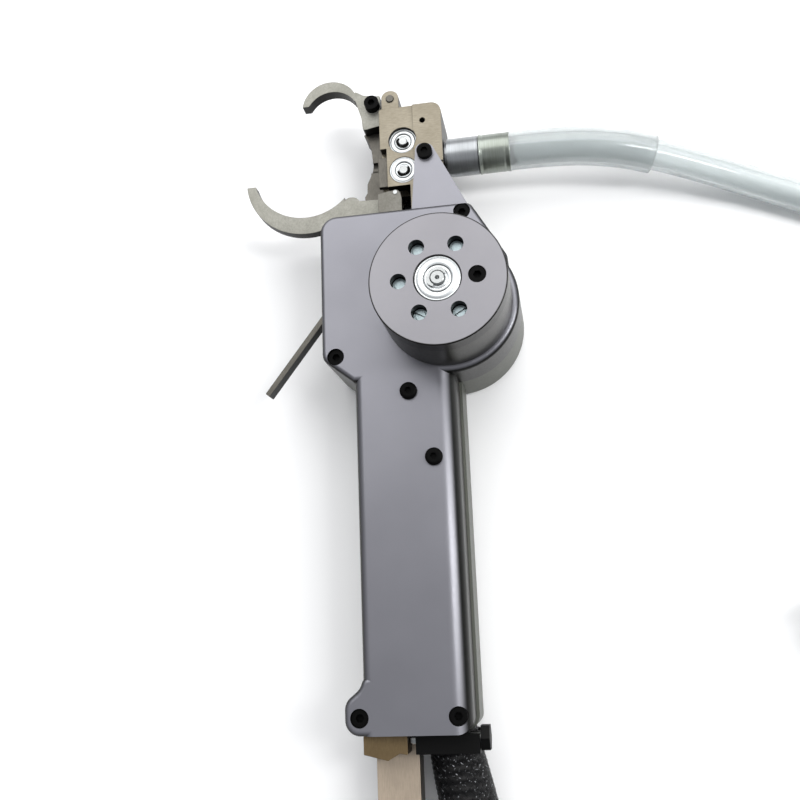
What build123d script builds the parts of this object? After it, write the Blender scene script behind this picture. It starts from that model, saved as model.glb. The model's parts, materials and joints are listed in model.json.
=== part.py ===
from build123d import *
import math
import os

# Hand-held automatic cable-tie gun, lying on its back on a table.
# +X is to the right of the tool, +Y runs along it towards the jaws, and +Z points out of its front face.
# The origin is on the main shaft's axis, at the level of the table. All sizes are in millimetres.

# ---- casing ----
back_depth = 25.0        # back shell, from the table to the parting line
front_depth = 19.0       # front shell, from the parting line to its face
wall = 2.6
face_z = back_depth + front_depth
bulge_r = 31.0           # round part of the casing under the drum
head_left = -55.8
head_top = 45.9
handle_left = -41.8
handle_right = 1.5
handle_lip = 1.2         # how much wider the back shell is on the right
handle_end = -176.4
edge_round = 2.2
grip_round_left = 4.0
grip_round_right = 7.5
boss_r = 6.2

# ---- casing screws, M4 socket heads in counterbores ----
screw_r = 2.0
screw_head_r = 3.5
counterbore_r = 3.75
counterbore_depth = 5.0
fit_gap = 0.1            # clearance round a screw or a pressed piece
end_screw_y = handle_end + 6.9
corner_screws = [(-49.6, -20.2), (8.6, 41.7), (handle_left - 1.3, end_screw_y), (handle_right - 5.3, end_screw_y)]
button_screws = [(-18.2, -38.0), (-8.6, -66.8)]

# ---- drum and main shaft ----
drum_r = 28.2
drum_height = 30.0
drum_wall = 3.0
cover_thick = 8.0
cover_hole_r = 3.3
cover_hole_circle = 16.0
drum_top = face_z + drum_height
shaft_r = 3.0
running_gap = 0.03
bearing_r = 9.5          # 626 ball bearing, 6 x 19 x 6
bearing_width = 6.0
bearing_sink = 0.6
reel_r = 23.5
reel_hub_r = 9.0

# ---- drive gears, module 1 ----
module = 1.0
wheel_teeth = 50
pinion_teeth = 18
tooth_gap = 0.25
gear_z = 10.5
gear_width = 6.0
gear_centre = module * (wheel_teeth + pinion_teeth) / 2
pinion_angle = 158.0
motor_x = gear_centre * math.cos(math.radians(pinion_angle))
motor_y = gear_centre * math.sin(math.radians(pinion_angle))
motor_r = 11.0

# ---- head block ----
block_left = -28.3
block_right = 1.0
block_top = 100.8
block_foot = 61.0
block_back = 12.0
block_face = 36.0
step_x = -12.4
step_height = 1.0
neck_left = -14.8
tension_x = -17.7        # both tension shafts, and the long shaft that drives them
lower_y = 68.7
upper_y = 83.7
upper_bearing_r = 6.5    # 624 ball bearing, 4 x 13 x 5
lower_bearing_r = 6.5    # the same
upper_shaft_r = 2.0
lower_shaft_r = 2.0
tension_teeth = 15
tension_gear_z = 15.0
tension_gear_width = 5.0
upper_bearing_top = block_face - 1.6
lower_bearing_top = block_face - 0.1

# ---- tension drive ----
drive_z = 7.0            # height of the long shaft above the table
drive_r = 2.0
tension_motor_r = 11.5
tension_motor_z = 14.8

# ---- jaws ----
jaw_back = 24.0
jaw_face = 30.0
lower_jaw_back = 25.0
gusset_screw_at = (-6.9, 73.6)
jaw_pivot = (-24.0, 53.5)
jaw_pin_r = 2.0
upper_arc = (-53.1, 108.9, 13.7)
upper_hook = (-52.3, 104.0, 13.1)
lower_arc = (-65.0, 74.7, 29.7)
lower_hook = (-65.5, 79.2, 25.9)

# ---- trigger ----
trigger_pivot = (-48.0, 20.0)
trigger_pin_r = 2.0
trigger_back = 18.0
trigger_width = 6.0
trigger_thick = 2.4
trigger_reach = 63.0
trigger_angle = 232.0
trigger_hub_r = 4.6
switch_y = 30.4

# ---- tie feed: nipple, hose and its coil ----
nipple_y = 77.6
nipple_z = 24.6
ferrule_r = 8.8
barb_r = 7.0
ferrule_end = 16.5
barb_end = 31.2
hose_r = 7.0
sleeve_r = 8.7
sleeve_end = 95.0
hose_route = [(barb_end, nipple_y, nipple_z), (52, nipple_y, nipple_z), (75, 75.8, 22.0), (95, 71.8, 17.6),
              (116, 65.2, 13.0), (137, 57.2, 9.2), (156, 48.8, 7.3), (184, 35.6, 7.05), (213.5, 19.8, 7.0),
              (243.5, 1.6, 7.0), (274, -19.0, 7.0), (306, -43.2, 7.0)]
hose_coil_centre = (245.6, -115.2)
hose_coil_mean = 80.0
hose_upper_sweep = 195.0
hose_end_angle = 215.0   # where the hose's last turn, which runs clockwise, meets the coupler
coupler_r = 8.5
coupler_length = 42.0

# ---- umbilical: braided sleeve over the motor leads and the air line ----
cord_x = -10.3           # where its axis crosses the end of the handle
cord_z = 15.0
cord_r = 12.0
cord_lean = 10.0         # degrees to the right of the handle's axis, where it leaves
cord_route = [(-10.6, -174.6, cord_z), (-7.55, -192.0, cord_z), (-3.4, -211.0, 14.4), (0.9, -232.0, 13.4),
              (4.9, -257.0, 12.5), (8.1, -286.0, 12.1), (9.9, -318.0, 12.0), (10.3, -352.0, 12.0)]
cord_coil_mean = 120.0
cord_coil_centre = (cord_route[-1][0] + cord_coil_mean + cord_r, cord_route[-1][1])
cord_upper_start = 205.0
cord_upper_sweep = 300.0
cord_end_angle = 145.0   # where the umbilical's last turn, which runs anticlockwise, meets the connector
connector_r = 12.5
connector_length = 56.0

# ---- scrap chute and its block ----
chute_left = -40.3
chute_width = 17.7
chute_back = 15.0
chute_height = 10.6
chute_end = handle_end - 55.6
sheet = 1.0
duct_z = 30.0
duct_height = 8.6

# ---- clamp on the umbilical ----
clamp_front = handle_end - 0.8
clamp_back = clamp_front - 7.4
clamp_left = -22.8
clamp_right = 3.0
clamp_bolt_y = handle_end - 0.5 - screw_r
clamp_bolt_z = 29.4


def box(x0, x1, y0, y1, z0, z1):
    return Pos((x0 + x1) / 2, (y0 + y1) / 2, (z0 + z1) / 2) * Box(x1 - x0, y1 - y0, z1 - z0)


def disc(x, y, r, z0, z1):
    return Pos(x, y, (z0 + z1) / 2) * Cylinder(r, z1 - z0)


def tube(x, y, r_out, r_in, z0, z1):
    return disc(x, y, r_out, z0, z1) - disc(x, y, r_in, z0 - 1, z1 + 1)


def rod_y(x, z, r, y0, y1):
    return Pos(x, (y0 + y1) / 2, z) * Rot(90, 0, 0) * Cylinder(r, y1 - y0)


def rod_x(y, z, r, x0, x1):
    return Pos((x0 + x1) / 2, y, z) * Rot(0, 90, 0) * Cylinder(r, x1 - x0)


def outline(corners):
    """A closed flat shape from (x, y, corner radius) points. An arc takes under half of each side it meets."""
    points = [Vector(x, y) for x, y, r in corners]
    radii = []
    for i, (x, y, r) in enumerate(corners):
        before = points[i] - points[i - 1]
        after = points[(i + 1) % len(points)] - points[i]
        half_turn = math.radians(before.get_angle(after) / 2)
        radii.append(min(r, 0.48 * min(before.length, after.length) / math.tan(half_turn)))
    return make_face(FilletPolyline(*points, radius=radii, close=True))


def slab(shape, z0, z1):
    return extrude(Pos(0, 0, z0) * shape, z1 - z0)


def socket_screw(x, y, head_top, length, head_r=screw_head_r, head_height=4.0):
    """Cap screw with a hexagon socket, pointing down."""
    head = disc(x, y, head_r, head_top - head_height, head_top)
    head -= slab(Pos(x, y) * RegularPolygon(head_r * 0.5, 6), head_top - head_height * 0.5, head_top + 1)
    return head + disc(x, y, screw_r - fit_gap, head_top - length, head_top - head_height + 0.1)


def gear(teeth, bore_r, z0, width, start=0.0):
    """Spur gear with straight-sided teeth, a little thinner than the gap they run in."""
    pitch_r = module * teeth / 2
    root_r = pitch_r - 1.15 * module
    tip_r = pitch_r + 0.9 * module
    half_root = math.radians(360 / teeth) * 0.36
    half_tip = math.radians(360 / teeth) * 0.13
    wheel = Circle(root_r)
    for i in range(teeth):
        a = math.radians(start + 360 * i / teeth)
        inner = root_r - 0.4
        flank = [(inner, -half_root), (tip_r, -half_tip), (tip_r, half_tip), (inner, half_root)]
        corners = [(r * math.cos(a + da), r * math.sin(a + da)) for r, da in flank]
        wheel += make_face(Polyline(*corners, close=True))
    if bore_r:
        wheel -= Circle(bore_r)
    return slab(wheel, z0, z0 + width)


def ball_bearing(x, y, z0, width, outer_r, bore_r):
    """Shielded ball bearing: outer ring, recessed shield and inner ring in one piece."""
    span = outer_r - bore_r
    body = tube(x, y, outer_r, bore_r, z0, z0 + width)
    shield_z = z0 + width - 0.35
    groove = tube(x, y, outer_r - 0.2 * span, bore_r + 0.3 * span, shield_z, z0 + width + 1)
    return body - groove


# ---- casing ----

def head_shape(inset):
    """Front view of the casing's head: corners, bulge and the slanted shoulders."""
    flat = outline([
        (head_left, -21.0, 6.0), (-42.2, -31.9, 0.5), (-20.0, -31.9, 0.5), (0.0, -12.0, 4.0),
        (27.2, 6.0, 4.0), (27.2, 19.3, 6.0), (12.2, head_top, 4.2), (head_left, head_top, 7.5)])
    flat += Circle(bulge_r)
    return offset(flat, -inset) if inset else flat


def handle_solid(z0, z1, inset, left_round, right_round, extra_right):
    """Handle from its rounded section, run along the tool and cut round at its free end."""
    x0 = handle_left + inset
    x1 = handle_right + extra_right - inset
    y0 = handle_end + inset
    left = max(left_round - inset, 0.6)
    right = max(right_round - inset, 0.6)
    top_of_front = z1 > back_depth
    if top_of_front:
        corners = [(x0, z0, 0.01), (x1, z0, 0.01), (x1, z1, right), (x0, z1, left)]
    else:
        corners = [(x0, z0, left), (x1, z0, right), (x1, z1, 0.01), (x0, z1, 0.01)]
    section = outline(corners)
    bar = extrude(Plane.XZ * section, 200, both=True)
    end = outline([(x0 - 20, y0, 1.0), (x1, y0, 5.8), (x1, -22.0, 1.0), (x0 - 20, -22.0, 1.0)])
    return bar & slab(end, z0, z1)


def boss_shape():
    """Lug round the lower left screw, faired into the handle's side."""
    x, y = corner_screws[2]
    return outline([
        (handle_left + 0.3, y + 15.2, 3.0), (handle_left - 1.2, y + 11.0, 7.0), (x - boss_r, y + 6.0, 6.0),
        (x - boss_r, handle_end, boss_r - 0.1), (handle_left + 9.0, handle_end, 1.0),
        (handle_left + 9.0, y + 17.0, 1.0)])


def soften(solid, z, radius):
    """Rounds the edges that lie at one height."""
    edges = solid.edges().filter_by_position(Axis.Z, z - 0.01, z + 0.01)
    return fillet(edges, radius)


def front_outer():
    z0, z1 = back_depth, face_z
    head = soften(slab(head_shape(0), z0, z1), z1, edge_round)
    boss = soften(slab(boss_shape(), z0, z1), z1, edge_round)
    return head + handle_solid(z0, z1, 0, grip_round_left, grip_round_right, 0) + boss


def back_outer():
    head = soften(slab(head_shape(0), 0, back_depth), 0, 3.0)
    boss = soften(slab(boss_shape(), 0, back_depth), 0, edge_round)
    return head + handle_solid(0, back_depth, 0, 7.0, 8.0, handle_lip) + boss


def along_cord(r, y0, y1):
    """Round bar on the umbilical's axis, between two distances from the end of the handle."""
    axis = Pos(cord_x, handle_end, cord_z) * Rot(0, 0, cord_lean) * Rot(90, 0, 0)
    return axis * Pos(0, 0, (y0 + y1) / 2) * Cylinder(r, y1 - y0)


def openings_in_shell():
    """Ways through the walls for the head, jaws, trigger, chute, long shaft and umbilical."""
    top_y = head_top - wall - 3
    neck = box(neck_left - 0.3, block_right + 0.3, top_y, head_top + 5, block_back - 0.3, block_face + 0.2)
    jaw_way = box(-64.0, neck_left - 0.2, 32.0, head_top + 5, back_depth - 2.5, jaw_face + 1.2)
    plate_way = box(-37.5, neck_left - 0.2, top_y, head_top + 5, 9.0, 34.4)
    shaft_way = rod_y(tension_x, 7.0, 3.2, top_y, head_top + 5)
    trigger_way = box(head_left - 2, -50.0, -9.5, 17.5, trigger_back - 1.2, trigger_back + trigger_width + 1.2)
    chute_way = box(chute_left - 0.15, chute_left + chute_width + 0.15, handle_end - 5, handle_end + 8,
                    chute_back - 0.15, chute_back + chute_height + 0.15)
    cord_way = along_cord(cord_r + 0.3, -8.0, 5.0)
    between = box(chute_left + chute_width, cord_x - 7.0, handle_end - 5, handle_end + wall + 0.2,
                  chute_back + 2.0, chute_back + chute_height + 0.15)
    return [neck, jaw_way, plate_way, shaft_way, trigger_way, chute_way, cord_way, between]


def front_shell():
    shell = front_outer()
    inner_z = face_z - wall
    shell -= slab(head_shape(wall), back_depth - 1, inner_z)
    shell -= handle_solid(back_depth, inner_z, wall, 2.0, 5.0, 0) & box(-90, 60, handle_end - 10, 20, 0, inner_z)
    for x, y in corner_screws:
        boss = disc(x, y, counterbore_r + 1.6, back_depth, inner_z + 0.3)
        shell += boss & slab(casing_footprint(), 0, face_z)
    for x, y in button_screws:
        shell += disc(x, y, 4.5, inner_z - 4, inner_z + 0.5)
    gusset = outline([(-14.6, head_top - 6, 0.5), (12.6, head_top - 6, 0.5), (11.2, head_top, 0.5),
                      (-4.1, 78.0, 4.4), (-11.0, 78.6, 4.6)])
    shell += slab(gusset, block_face + step_height + 0.2, block_face + step_height + 3.7)
    for cut in openings_in_shell():
        shell -= cut
    for x, y in corner_screws:
        shell -= disc(x, y, counterbore_r, face_z - counterbore_depth, face_z + 1)
        shell -= disc(x, y, screw_r + fit_gap, back_depth - 1, face_z)
    for x, y in button_screws:
        shell -= disc(x, y, screw_r + fit_gap, inner_z - 6, face_z + 1)
    shell -= disc(*gusset_screw_at, screw_r + fit_gap, block_face, face_z)
    shell -= disc(0, 0, drum_r - drum_wall, inner_z - 1, face_z + 1)
    shell -= disc(0, 0, drum_r + 0.05, face_z - 0.6, face_z + 1)
    return shell


def casing_footprint():
    grip = outline([(handle_left, handle_end, 1.0), (handle_right, handle_end, 5.8),
                    (handle_right, -20.0, 0.5), (handle_left, -20.0, 0.5)])
    return head_shape(0) + grip + boss_shape()


def back_shell():
    shell = back_outer()
    shell -= slab(head_shape(wall), wall, back_depth + 1)
    shell -= handle_solid(wall, back_depth, wall, 5.0, 6.0, handle_lip) & box(-90, 60, -190, 20, 0, 99)
    for x, y in corner_screws:
        boss = disc(x, y, counterbore_r + 1.6, wall - 0.5, back_depth)
        shell += boss & slab(casing_footprint(), 0, back_depth)
    shell += tube(0, 0, bearing_r + 2.6, bearing_r + 0.02, wall - 0.5, wall + bearing_width)
    for cut in openings_in_shell():
        shell -= cut
    for x, y in corner_screws:
        shell -= disc(x, y, screw_r - fit_gap, back_depth - 8, back_depth + 1)
    return shell


def casing_screws():
    head_top = face_z - counterbore_depth + 4.0
    return Compound(children=[socket_screw(x, y, head_top, 25.0) for x, y in corner_screws])


def drum_ring():
    return tube(0, 0, drum_r, drum_r - drum_wall, face_z - 0.6, drum_top - cover_thick)


def cover_hole_places(count=6):
    for i in range(count):
        a = math.radians(360 * i / count)
        yield cover_hole_circle * math.cos(a), cover_hole_circle * math.sin(a)


def drum_cover():
    cover = disc(0, 0, drum_r, drum_top - cover_thick, drum_top)
    cover = soften(cover, drum_top, 0.5)
    cover += disc(0, 0, drum_r - drum_wall - 0.15, drum_top - cover_thick - 2.5, drum_top - cover_thick + 0.1)
    cover -= disc(0, 0, bearing_r + 0.02, drum_top - bearing_sink - bearing_width, drum_top + 1)
    cover -= disc(0, 0, shaft_r + 1.6, drum_top - cover_thick - 5, drum_top)
    cover -= Pos(0, 0, drum_top - 0.2) * Cone(bearing_r + 0.02, bearing_r + 0.45, 0.42)
    for x, y in cover_hole_places():
        cover -= disc(x, y, cover_hole_r if x < cover_hole_circle - 1 else screw_r + fit_gap,
                      drum_top - cover_thick - 5, drum_top + 1)
    cover -= disc(cover_hole_circle, 0, screw_head_r + 0.15, drum_top - 4.6, drum_top + 1)
    return cover


def cover_screw():
    return socket_screw(cover_hole_circle, 0, drum_top - 0.5, 10.4)


# ---- main shaft, reel and gears ----

def main_shaft():
    r = shaft_r - running_gap
    shaft = disc(0, 0, r, wall + 0.4, drum_top + 0.6)
    shaft = soften(shaft, drum_top + 0.6, 0.5)
    shaft -= Pos(0, 0, drum_top + 0.1) * Cone(0.1, 1.0, 1.2)
    collar_top = drum_top - bearing_sink - bearing_width
    shaft += disc(0, 0, r + 1.2, collar_top - 1.6, collar_top - 0.3)
    shaft += disc(0, 0, r + 1.2, wall + bearing_width + 0.3, gear_z)
    return shaft


def reel():
    """Two-flange wheel that winds the push band, with a round step on its outer face."""
    low = face_z + 1.5
    high = drum_top - cover_thick - 3.1
    body = disc(0, 0, reel_r, low, low + 2)
    body += disc(0, 0, reel_hub_r, low, high)
    body += disc(0, 0, reel_r, high - 2.6, high - 0.8)
    body += disc(0, 0, reel_r - 6.5, high - 1, high)
    return body - disc(0, 0, shaft_r + 0.01, low - 1, high + 1)


def push_band():
    low = face_z + 3.8
    high = drum_top - cover_thick - 6.0
    return tube(0, 0, reel_r - 4.0, reel_hub_r + 0.1, low, high)


def drive_gear():
    wheel = gear(wheel_teeth, shaft_r + 0.01, gear_z, gear_width)
    for i in range(5):
        a = math.radians(72 * i + 36)
        wheel -= disc(14.5 * math.cos(a), 14.5 * math.sin(a), 4.2, gear_z - 1, gear_z + gear_width + 1)
    return wheel


def motor_pinion():
    """Pinion and the motor's output spindle, which turn as one."""
    start = 180 + pinion_angle + 180 / pinion_teeth
    twist = (pinion_angle * wheel_teeth / pinion_teeth) % (360 / pinion_teeth)
    wheel = Pos(motor_x, motor_y) * gear(pinion_teeth, 0, gear_z, gear_width, start + twist)
    return wheel + disc(motor_x, motor_y, 1.5, gear_z + gear_width - 0.5, motor_plate_z() - 0.1 + 6)


def motor_plate_z():
    return gear_z + gear_width + 0.8


def motor_plate():
    z0 = motor_plate_z()
    plate = box(motor_x - 9.5, motor_x + 12.5, motor_y - 11.5, motor_y + 11.5, z0, z0 + 1.8)
    plate -= disc(motor_x, motor_y, 2.2, z0 - 1, z0 + 3)
    return plate


def drive_motor():
    z0 = motor_plate_z() + 1.8
    can = disc(motor_x, motor_y, motor_r, z0, face_z - wall - 0.8)
    can = soften(can, face_z - wall - 0.8, 1.2)
    can -= disc(motor_x, motor_y, 1.55, z0 - 1, z0 + 5)
    return can


def front_bearing():
    return ball_bearing(0, 0, drum_top - bearing_sink - bearing_width, bearing_width, bearing_r, shaft_r)


def back_bearing():
    return ball_bearing(0, 0, wall, bearing_width, bearing_r, shaft_r)


# ---- tension drive ----
def tension_motor():
    can = rod_y(tension_x, tension_motor_z, tension_motor_r, -128.0, -84.0)
    return can + rod_y(tension_x, tension_motor_z, 4.0, -130.5, -127.5)


def tension_gearhead():
    head = rod_y(tension_x, tension_motor_z, tension_motor_r - 0.3, -83.9, -60.0)
    return head - rod_y(tension_x, drive_z, drive_r + 0.05, -72.0, -59.0)


def tension_shaft():
    return rod_y(tension_x, drive_z, drive_r, -70.0, 56.5)


def angle_gearbox():
    """Sealed right-angle gearbox behind the head block."""
    body = box(tension_x - 8.0, tension_x + 8.0, 55.0, 78.0, 1.0, block_back - 0.1)
    body -= rod_y(tension_x, drive_z, drive_r + 0.05, 54.0, 57.5)
    return body - disc(tension_x, lower_y, lower_shaft_r + 0.05, 6.0, block_back + 1)


def tension_gear(y, bore_r, start):
    """Knurled tension wheel, drawn as a small spur gear so that the pair turns together."""
    return Pos(tension_x, y) * gear(tension_teeth, bore_r, tension_gear_z, tension_gear_width, start)


def lower_tension_gear():
    return tension_gear(lower_y, lower_shaft_r, 90.0)


def upper_tension_gear():
    return tension_gear(upper_y, upper_shaft_r, 270.0 + 180 / tension_teeth)


def lower_tension_shaft():
    shaft = disc(tension_x, lower_y, lower_shaft_r - 0.02, 6.3, block_face + 0.3)
    return soften(shaft, block_face + 0.3, 0.3)


def upper_tension_shaft():
    shaft = disc(tension_x, upper_y, upper_shaft_r - 0.02, block_back + 1.0, block_face - 0.8)
    return soften(shaft, block_face - 0.8, 0.4)


def upper_head_bearing():
    return ball_bearing(tension_x, upper_y, upper_bearing_top - 5, 5, upper_bearing_r, upper_shaft_r)


def lower_head_bearing():
    return ball_bearing(tension_x, lower_y, lower_bearing_top - 5, 5, lower_bearing_r, lower_shaft_r)


# ---- head ----

def head_block():
    plan = outline([(block_left, block_foot, 1.0), (neck_left, block_foot, 0.3), (neck_left, 38.0, 1.0),
                    (block_right - 0.6, 38.0, 1.0), (block_right, block_top, 5.0), (block_left, block_top, 1.2)])
    body = slab(plan, block_back, block_face)
    raised = outline([(step_x, block_top - 30, 0.5), (block_right - 0.1, block_top - 30, 0.5),
                      (block_right - 0.1, block_top - 0.1, 4.8), (step_x, block_top - 0.1, 0.3)])
    body += slab(raised, block_face - 1, block_face + step_height)
    ear = outline([(-37.6, 96.0, 2.0), (-28.0, 96.0, 0.4), (-28.0, 111.6, 0.4), (-37.6, 111.6, 3.0)])
    body += slab(ear, block_back, jaw_back - 0.05)
    lug = outline([(-27.4, 98.0, 0.3), (-19.2, 98.0, 0.3), (-19.2, 111.6, 4.0), (-27.4, 111.6, 4.0)])
    body += slab(lug, block_back + 6, 33.2)
    body -= disc(-23.3, 107.4, 1.9, block_back, 40)
    body -= disc(-32.2, 106.6, screw_r + fit_gap, block_back - 1, 40)
    # pockets for the tension gears, their shafts and bearings
    for y, shaft_hole, seat_r, seat_top, depth in (
            (upper_y, upper_shaft_r + 0.6, upper_bearing_r, upper_bearing_top, 5),
            (lower_y, lower_shaft_r + 0.6, lower_bearing_r, lower_bearing_top, 5)):
        body -= disc(tension_x, y, module * tension_teeth / 2 + 1.4, tension_gear_z - 0.4,
                     tension_gear_z + tension_gear_width + 0.4)
        body -= disc(tension_x, y, seat_r + 0.02, seat_top - depth, block_face + 2)
        body -= disc(tension_x, y, shaft_hole, block_back - 1, block_face)
    body -= rod_x(nipple_y, nipple_z, 2.6, block_left - 1, block_right + 1)
    body -= rod_x(nipple_y, nipple_z, 5.02, block_right - 7, block_right + 1)
    body -= box(-30, -17.0, 58.0, 76.0, lower_jaw_back - 0.5, jaw_face + 0.4)
    body -= box(block_left - 0.5, -25.3, block_foot - 1, 80.2, 31.2, block_face + 1)
    body -= disc(-7.9, 92.1, 1.35, block_face - 6, block_face + 3)
    body -= disc(*gusset_screw_at, screw_r - fit_gap, block_face - 8, block_face + 3)
    for y in (77.4, 85.5):
        body -= rod_x(y, 33.6, 0.9, block_left - 1, block_left + 2.5)
    return body


def head_frame():
    """Blackened plate that ties the head block and the guide to the casing."""
    plate = box(-36.5, neck_left - 0.4, 42.0, 61.6, 9.4, block_back - 0.1)
    return plate - box(tension_x - 8.1, tension_x + 8.1, 54.9, 80.0, 0, block_back)


def tie_guide():
    """Curved plate that leads the tie along the left of the block, between the jaws."""
    plan = outline([(-38.2, 50.0, 1.0), (-28.7, 50.0, 0.5), (-28.7, 95.6, 0.5), (-38.4, 95.6, 0.6),
                    (-36.4, 92.6, 1.5), (-34.6, 87.0, 4.0), (-34.0, 80.0, 6.0), (-35.2, 73.5, 4.0),
                    (-37.0, 69.5, 1.0), (-37.2, 65.0, 1.0), (-38.4, 63.0, 1.0)])
    plate = slab(plan, block_back, jaw_back)
    return plate - rod_x(nipple_y, nipple_z, 2.6, -40, -28)


def guide_foot():
    foot = outline([(-37.6, 46.2, 0.5), (-31.0, 46.2, 0.5), (-31.0, 49.7, 0.3), (-37.6, 49.7, 0.3)])
    return slab(foot, block_back, jaw_back - 1)


def jaw_bracket():
    """Grey plate over the lower jaw's pivot, with its small dowel hole."""
    plan = outline([(-30.4, 38.0, 0.5), (-19.6, 38.0, 0.5), (-19.4, 56.0, 4.0), (-20.6, 60.7, 2.5),
                    (-30.4, 58.9, 0.5)])
    plate = slab(plan, jaw_face + 0.4, 34.0)
    plate -= disc(-22.3, 59.0, 1.0, jaw_face, 40)
    return plate - disc(jaw_pivot[0], jaw_pivot[1], jaw_pin_r + 0.01, jaw_face, 32.6)


def bracket_dowel():
    return disc(-22.3, 59.0, 0.98, jaw_face + 0.8, 34.3)


def jaw_pin():
    x, y = jaw_pivot
    return disc(x, y, jaw_pin_r, block_back + 0.1, 32.5)


def pivot_post():
    """Round post that carries the jaw's pin, standing on the frame plate."""
    x, y = jaw_pivot
    return tube(x, y, 4.6, jaw_pin_r + 0.01, block_back, lower_jaw_back - 0.3)


def crescent(outer, inner):
    ox, oy, orad = outer
    ix, iy, irad = inner
    return Pos(ox, oy) * Circle(orad) - Pos(ix, iy) * Circle(irad)


def upper_jaw():
    """Fixed hook: a crescent that runs into a plate screwed to the block's ear."""
    hook = crescent(upper_arc, upper_hook)
    hook &= Pos(-53.0, 121.0) * Rectangle(60, 20.4)
    root = outline([(-42.6, 117.0, 2.5), (-36.6, 113.0, 4.0), (-28.6, 111.6, 0.5), (-28.6, 96.0, 0.5),
                    (-37.2, 94.6, 1.0), (-37.9, 101.0, 5.0), (-40.3, 109.4, 3.0)])
    jaw = slab(hook + root, jaw_back, jaw_face)
    return jaw - disc(-32.2, 106.6, screw_r + fit_gap, jaw_back - 1, jaw_face + 1)


def jaw_screw():
    return socket_screw(-32.2, 106.6, jaw_face + 4.0, 16.0)


def link_pin():
    pin = disc(-23.3, 107.4, 1.88, block_back + 7, 33.9)
    return soften(pin, 33.9, 0.4)


def lower_jaw():
    """Swinging hook, with an arm that runs to the pivot behind the bracket."""
    px, py = jaw_pivot
    hook = crescent(lower_arc, lower_hook)
    hook &= Pos(-77.0, 56.5) * Rectangle(60, 30.5)
    nose = Pos(-43.9, 56.4) * Circle(4.5)
    arm = outline([(-49.0, 58.6, 1.0), (-56.0, 46.2, 3.0), (-44.0, 48.4, 8.0), (px, py - 4.4, 3.0),
                   (px + 4.2, py, 3.0), (px, py + 4.4, 3.0), (-40.0, 58.6, 2.0)])
    hub = Pos(px, py) * Circle(4.6)
    jaw = slab(hook + arm + nose + hub, lower_jaw_back, jaw_face)
    return jaw - disc(px, py, jaw_pin_r + 0.04, lower_jaw_back - 1, jaw_face + 1)


def cutter_blade():
    """Cutter slide, which moves up the block's left edge to cut the tie's tail."""
    return box(-29.7, -25.6, 62.2, 76.8, 31.4, 33.9)


# ---- feed ----

def feed_nipple():
    body = rod_x(nipple_y, nipple_z, 5.0, block_right - 6.9, ferrule_end)
    body += rod_x(nipple_y, nipple_z, ferrule_r, block_right + 1.2, ferrule_end - 0.2)
    body += rod_x(nipple_y, nipple_z, ferrule_r - 1.4, block_right + 0.05, block_right + 1.3)
    for i in range(4):
        x = ferrule_end + 2.2 + 3.2 * i
        body += Pos(x, nipple_y, nipple_z) * Rot(0, 90, 0) * Cone(barb_r - 0.05, barb_r - 0.8, 2.9)
    body += rod_x(nipple_y, nipple_z, barb_r - 0.8, ferrule_end - 0.3, barb_end)
    return body - rod_x(nipple_y, nipple_z, 3.6, block_right - 8, barb_end + 1)


def cord_path(route):
    """Straight runs joined by arcs that are as large as the runs allow. Prints the arcs' radii."""
    points = [Vector(*p) for p in route]
    radii = []
    for before, here, after in zip(points, points[1:], points[2:]):
        turn = math.radians((here - before).get_angle(after - here))
        shorter = min((here - before).length, (after - here).length)
        radii.append(0.45 * shorter / math.tan(turn / 2))
    print("arc radii", [round(r) for r in radii])
    return FilletPolyline(*points, radius=radii)


def cord_tube(route, r, r_in=0.0):
    path = cord_path(route)
    start = Plane(origin=path @ 0, z_dir=path % 0)
    section = start * (Circle(r) - Circle(r_in)) if r_in else start * Circle(r)
    solid = sweep(section, path=path)
    print("tube volume over section times length", round(solid.volume / (section.area * path.length), 4))
    return solid


def feed_hose():
    return cord_tube(hose_route, hose_r)


def hose_sleeve():
    """Wider clear hose over the nipple's barbs and the first stretch of the feed hose."""
    straight = rod_x(nipple_y, nipple_z, sleeve_r, ferrule_end, barb_end)
    straight -= rod_x(nipple_y, nipple_z, hose_r + 0.05, ferrule_end - 1, barb_end + 1)
    count = sum(1 for p in hose_route if p[0] < sleeve_end + 0.1)
    return straight + cord_tube(hose_route[:count], sleeve_r, hose_r + 0.05)


def ring_sector(x, y, r_out, r_in, z0, z1, start, sweep_angle):
    """Part of a flat ring, from start degrees, anticlockwise."""
    section = Pos((r_out + r_in) / 2, 0) * Rectangle(r_out - r_in, z1 - z0)
    section = fillet(section.vertices(), min(3.0, 0.3 * (z1 - z0)))
    solid = revolve(Plane.XZ * section, Axis.Z, sweep_angle)
    return Pos(x, y, (z0 + z1) / 2) * Rot(0, 0, start) * solid


def hose_coil():
    x, y = hose_coil_centre
    m, d = hose_coil_mean, 2 * hose_r
    body = ring_sector(x, y, m + 1.5 * d, m - 1.5 * d, 0, d, 0, 360)
    body += ring_sector(x, y, m + 0.1, m - d, d - 0.6, 1.87 * d, 0, 360)
    return body + ring_sector(x, y, m + d, m - 0.6, d - 0.6, 1.87 * d, hose_end_angle, hose_upper_sweep)


def place_on_ring(centre, radius, angle, z):
    a = math.radians(angle)
    return Pos(centre[0] + radius * math.cos(a), centre[1] + radius * math.sin(a), z)


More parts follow.
